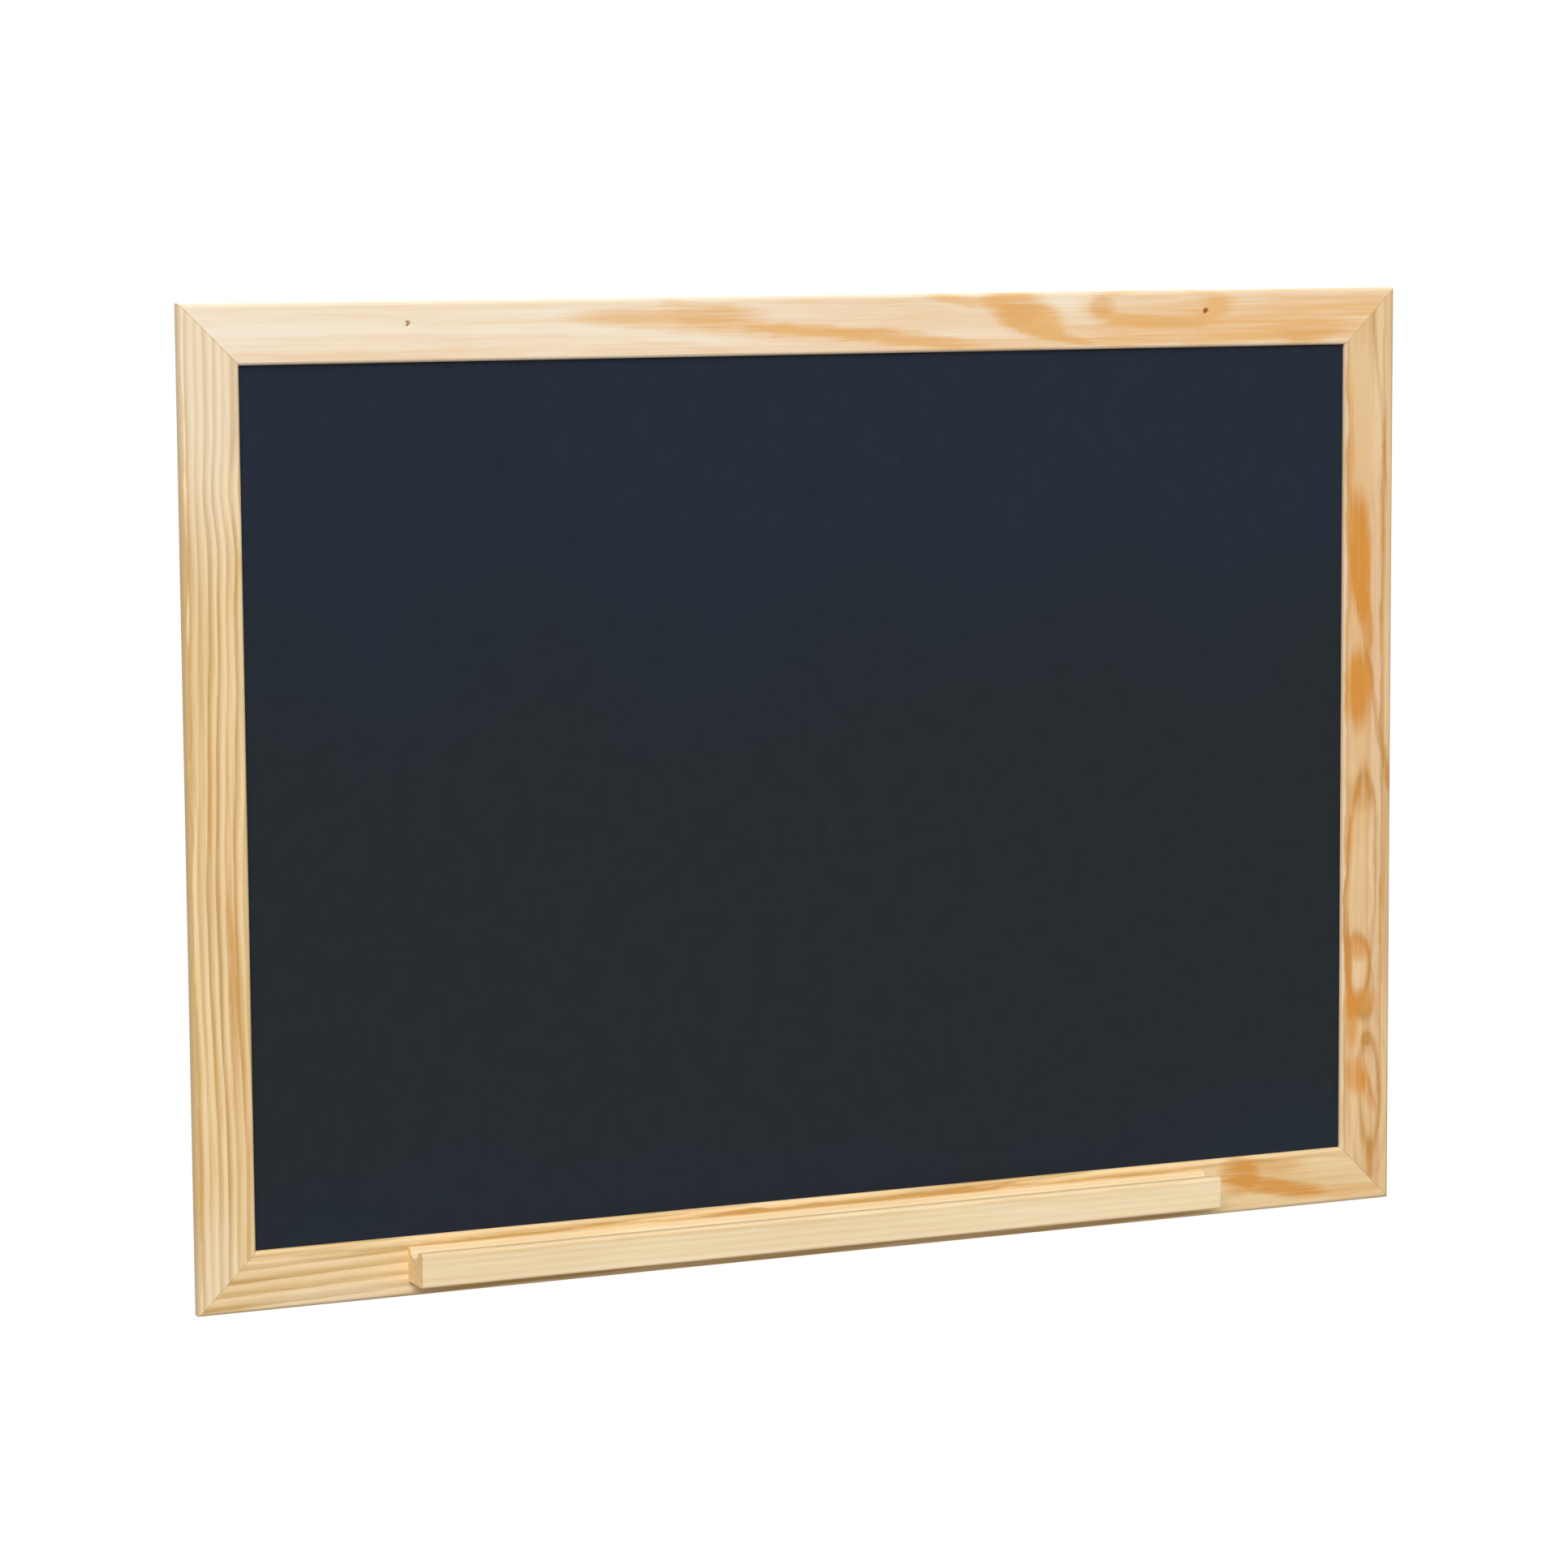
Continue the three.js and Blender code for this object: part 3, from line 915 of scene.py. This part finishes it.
def pine(name, turn, origin, rings, tones, **figure):
    """Pine for one strip. Its rings are so many to a millimetre along, across and into the strip.
    Its figure has swells that bend the rings, loops that close round a knot, shades of summer wood, some
    of them painted shade, patches where the rings are bolder or fainter, and patches of resin and pale
    wood, among them painted shade and a painted highlight."""
    material, tree, mapping = new_material(name)
    mapping.inputs["Rotation"].default_value = (0, -turn, 0)
    mapping.inputs["Location"].default_value = -per_metre * (Matrix.Rotation(-turn, 3, "Y") @ origin)
    place = mapping.outputs[0]
    parts = put(tree, "ShaderNodeSeparateXYZ", {0: place})
    along, into, across = (Field(tree, parts.outputs[i]) for i in range(3))
    own = (0, log_spacing * math.cos(turn), log_spacing * turn)
    spot = put(tree, "ShaderNodeVectorMath", {0: place, 1: own}, operation="ADD").outputs[0]
    bent = across + noise(tree, spot, ring_bends, 1) * rings["wander"]
    frayed = across + noise(tree, spot, frayed_edges, 3) * rings["fray"]
    total = along * rings["along"] + bent * rings["across"] + into * rings["into"] + rings["start"]
    total = total + noise(tree, spot, ring_waves, 2) * rings["waves"]
    for shape in figure.get("swells", ()):
        total = total + shaped(tree, along, bent, shape)["Rings"]
    shade = patches(tree, along, frayed, figure.get("shades", ()))
    for *shape, width, strength in figure.get("loops", ()):
        shade = shade + shaped(tree, along, frayed, (*shape, 0, width))["Rim"] * strength
    contrast = patches(tree, along, frayed, figure.get("boldness", ()), rings["contrast"])
    stain_and_painted_shade = patches(tree, along, frayed, figure.get("resin_and_painted_shade", ()))
    pale_and_painted_light = patches(tree, along, frayed, figure.get("pale", ()))
    facing = put(tree, "ShaderNodeNewGeometry").outputs["True Normal"]
    axis = Matrix.Rotation(turn, 3, "Y") @ Vector((1, 0, 0))
    sawn = put(tree, "ShaderNodeVectorMath", {0: facing, 1: axis}, operation="DOT_PRODUCT")
    end_grain = Field(tree, sawn.outputs["Value"]).calc("ABSOLUTE").ramp(0.5, 0.9)
    group = put(tree, "ShaderNodeGroup", node_tree=pine_group)
    settings = {
        "Place": spot,
        "Rings": total,
        "Contrast": contrast,
        "Shade": shade,
        "Resin And Painted Shade": stain_and_painted_shade,
        "Pale And Painted Light": pale_and_painted_light,
        "End Grain": end_grain,
        **tones,
    }
    for socket, value in settings.items():
        feed(tree, group.inputs[socket], value)
    settings = {
        "Base Color": group.outputs["Color"],
        "Roughness": group.outputs["Roughness"],
        "Normal": bump(tree, group.outputs["Height"], **wood_relief),
        "Specular IOR Level": varnish_gloss,
    }
    end_material(tree, settings)
    return material


def place_strip(piece, turn, origin):
    """Puts a strip that was made about its own origin in its place round the opening."""
    piece.data.transform(Matrix.Translation(origin) @ Matrix.Rotation(turn, 4, "Y"))


hole_section = [
    (0, cut_past),
    (wall_hole, cut_past),
    (wall_hole, front + wall_hole_easing),
    (wall_hole + wall_hole_easing, front),
    (wall_hole + wall_hole_easing, front - cut_past),
    (0, front - cut_past),
]
hole_places = [((wall_hole_shift + end * wall_hole_spacing / 2, 0, 0), 0) for end in (-1, 1)]
wall_holes = set_out("wall_holes", turned("wall_hole", hole_section), hole_places)
cutters = [nail_slots, point_slots, screw_holes, wall_holes]
strip_section = bordered(
    [
        (0, front + lip_thickness, 0),
        (rebate_width, front + lip_thickness, 0),
        (rebate_width, 0, 0),
        (strip_width, 0, back_arris),
        (strip_width, front, outer_arris),
        (0, front, inner_arris),
    ]
)
strips = {
    "top_rail": (0, opening.x, opening.z),
    "bottom_rail": (math.pi, opening.x, opening.z),
    "left_stile": (-math.pi / 2, opening.z, opening.x),
    "right_stile": (math.pi / 2, opening.z, opening.x),
}
for name, (turn, span, apart) in strips.items():
    outward = Matrix.Rotation(turn, 3, "Y") @ Vector((0, 0, 1))
    origin = opening_middle + outward * apart / 2
    sizes = {
        "Half Length": span / 2 - mitre_trim,
        "End Slope": 1.0,
        "Arris Steps": arris_steps,
        "Finish": pine(name + "_pine", turn, origin, **figures[name]),
    }
    piece = new_piece(name + "_strip", loop_mesh(name, strip_section))
    run_tree(piece, strip_tree, sizes)
    place_strip(piece, turn, origin)
    cut(piece, cutters)
    smooth(piece)
    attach(piece, "root")
    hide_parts(name)


# The writing panel. A sheet of three millimetre hardboard, smooth in front with a matt slate coat
# that was rolled on, and brown behind with the print of the press screen. It lies in the rebate.
panel_arris = 0.0002
coat_clouds = (170, 170, 170)
coat_mist = (14, 14, 14)
coat_grain = (0.7, 0.7, 0.7)
coat_relief = {"strength": 0.35, "distance": 0.0002}
coat_gloss = 0.2
screen_pitch = 1.6
board_fibres = (1.8, 1.8, 1.8)
board_clouds = (90, 90, 90)
board_relief = {"strength": 0.6, "distance": 0.0003}
board_gloss = 0.25
grey_coat = (0.0081, 0.0127, 0.0155, 1)
blue_coat = (0.0086, 0.0147, 0.0278, 1)
chalk_wear = (0.72, 0.74, 0.76, 1)
dark_fibre = (0.16, 0.085, 0.04, 1)
pale_fibre = (0.34, 0.2, 0.1, 1)
press_stain = (0.8, 0.72, 0.64, 1)

panel_low, panel_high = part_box("writing_panel")
panel_size = panel_high - panel_low
panel_middle = (panel_low + panel_high) / 2
half_x = panel_size.x / 2
half_z = panel_size.z / 2
outline = [(-half_x, -half_z), (half_x, -half_z), (half_x, half_z), (-half_x, half_z)]
panel = plate("slate_panel", outline, panel_size.y, panel_arris)
panel.data.transform(Matrix.Translation((panel_middle.x, panel_high.y, panel_middle.z)))

slate, tree, mapping = new_material("slate_coat")
spot = mapping.outputs[0]
parts = put(tree, "ShaderNodeSeparateXYZ", {0: spot})
height = Field(tree, parts.outputs[2]) - per_metre * opening_middle.z
cloud = noise(tree, spot, coat_clouds, 3)
mist = noise(tree, spot, coat_mist, 4, 0.65)
grain = noise(tree, spot, coat_grain, 2)
blue = height.ramp(-40, 230) + height.ramp(-205, -295) * 0.6 + cloud
worn = (mist + grain * 0.6).ramp(-0.25, 0.25, 0, 0.4)
coat = blend(tree, blue, grey_coat, blue_coat)
slate_settings = {
    "Base Color": blend(tree, worn, coat, chalk_wear, "MULTIPLY"),
    "Roughness": mist * 0.3 + grain * 0.2 + 0.62,
    "Specular IOR Level": coat_gloss,
    "Normal": bump(tree, grain + mist * 0.5, **coat_relief),
}
end_material(tree, slate_settings)

hardboard, tree, mapping = new_material("bare_hardboard")
spot = mapping.outputs[0]
parts = put(tree, "ShaderNodeSeparateXYZ", {0: spot})
wave = 2 * math.pi / screen_pitch
upright_ribs = (Field(tree, parts.outputs[0]) * wave).calc("SINE")
level_ribs = (Field(tree, parts.outputs[2]) * wave).calc("SINE")
ribs = upright_ribs * level_ribs
fibre = noise(tree, spot, board_fibres, 4, 0.7)
cloud = noise(tree, spot, board_clouds, 3)
brown = blend(tree, ribs * 0.3 + fibre * 1.6 + 0.5, dark_fibre, pale_fibre)
hardboard_settings = {
    "Base Color": blend(tree, cloud.ramp(-0.2, 0.2, 0, 0.5), brown, press_stain, "MULTIPLY"),
    "Roughness": fibre * 0.3 + 0.78,
    "Specular IOR Level": board_gloss,
    "Normal": bump(tree, ribs * 0.6 + fibre, **board_relief),
}
end_material(tree, hardboard_settings)

panel.data.materials.append(slate)
panel.data.materials.append(hardboard)
for polygon in panel.data.polygons:
    polygon.material_index = 0 if polygon.normal.y < -0.5 else 1
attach(panel, "root")
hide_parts("writing_panel")


# The chalk ledge. A square pine strip on the face of the bottom rail, with a round-bottomed groove
# milled along its top for the chalk, sawn square at its ends and held by the three screws.
ledge_top_arris = 0.003
ledge_low_arris = 0.0015
groove_width = 0.018
groove_depth = 0.006
groove_from_rail = 0.003
groove_arris = 0.001
groove_steps = 16
ledge_tones = {
    "Spring Wood": (0.93, 0.76, 0.49, 1),
    "Summer Wood": (0.72, 0.48, 0.22, 1),
    "Resin Wood": (0.7, 0.36, 0.12, 1),
}
ledge_rings = {**calm, "across": 0.2, "into": 0.12, "contrast": 0.25}
# The first shade is painted shade: it darkens the upward-facing top of the ledge, where the lamp falls
# most strongly.
ledge_shades = [(0, 24, 900, 4.8, 0, 0.27), (-250, 10, 80, 12, 0, 0.1)]

ledge_low, ledge_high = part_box("chalk_ledge")
ledge_depth = ledge_high.y - ledge_low.y
ledge_height = ledge_high.z - ledge_low.z
ledge_origin = Vector(((ledge_low.x + ledge_high.x) / 2, front, ledge_low.z))
groove_radius = (groove_width**2 / 4 + groove_depth**2) / (2 * groove_depth)
groove_axis = ledge_height - groove_depth + groove_radius
groove_half_angle = math.asin(groove_width / 2 / groove_radius)
groove = []
for i in range(groove_steps + 1):
    angle = groove_half_angle * (1 - 2 * i / groove_steps)
    from_rail = groove_from_rail + groove_width / 2 - groove_radius * math.sin(angle)
    easing = groove_arris if i in (0, groove_steps) else 0
    groove.append((groove_axis - groove_radius * math.cos(angle), -from_rail, easing))
ledge_section = bordered(
    [
        (0, 0, 0),
        (ledge_height, 0, 0),
        *groove,
        (ledge_height, -ledge_depth, ledge_top_arris),
        (0, -ledge_depth, ledge_low_arris),
    ]
)
sizes = {
    "Half Length": (ledge_high.x - ledge_low.x) / 2,
    "End Slope": 0.0,
    "Arris Steps": arris_steps,
    "Finish": pine("ledge_pine", 0, ledge_origin, ledge_rings, ledge_tones, shades=ledge_shades),
}
ledge = new_piece("grooved_ledge", loop_mesh("grooved_ledge", ledge_section))
run_tree(ledge, strip_tree, sizes)
place_strip(ledge, 0, ledge_origin)
cut(ledge, cutters)
for cutter in cutters:
    bpy.data.objects.remove(cutter)
smooth(ledge)
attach(ledge, "root")
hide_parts("chalk_ledge")
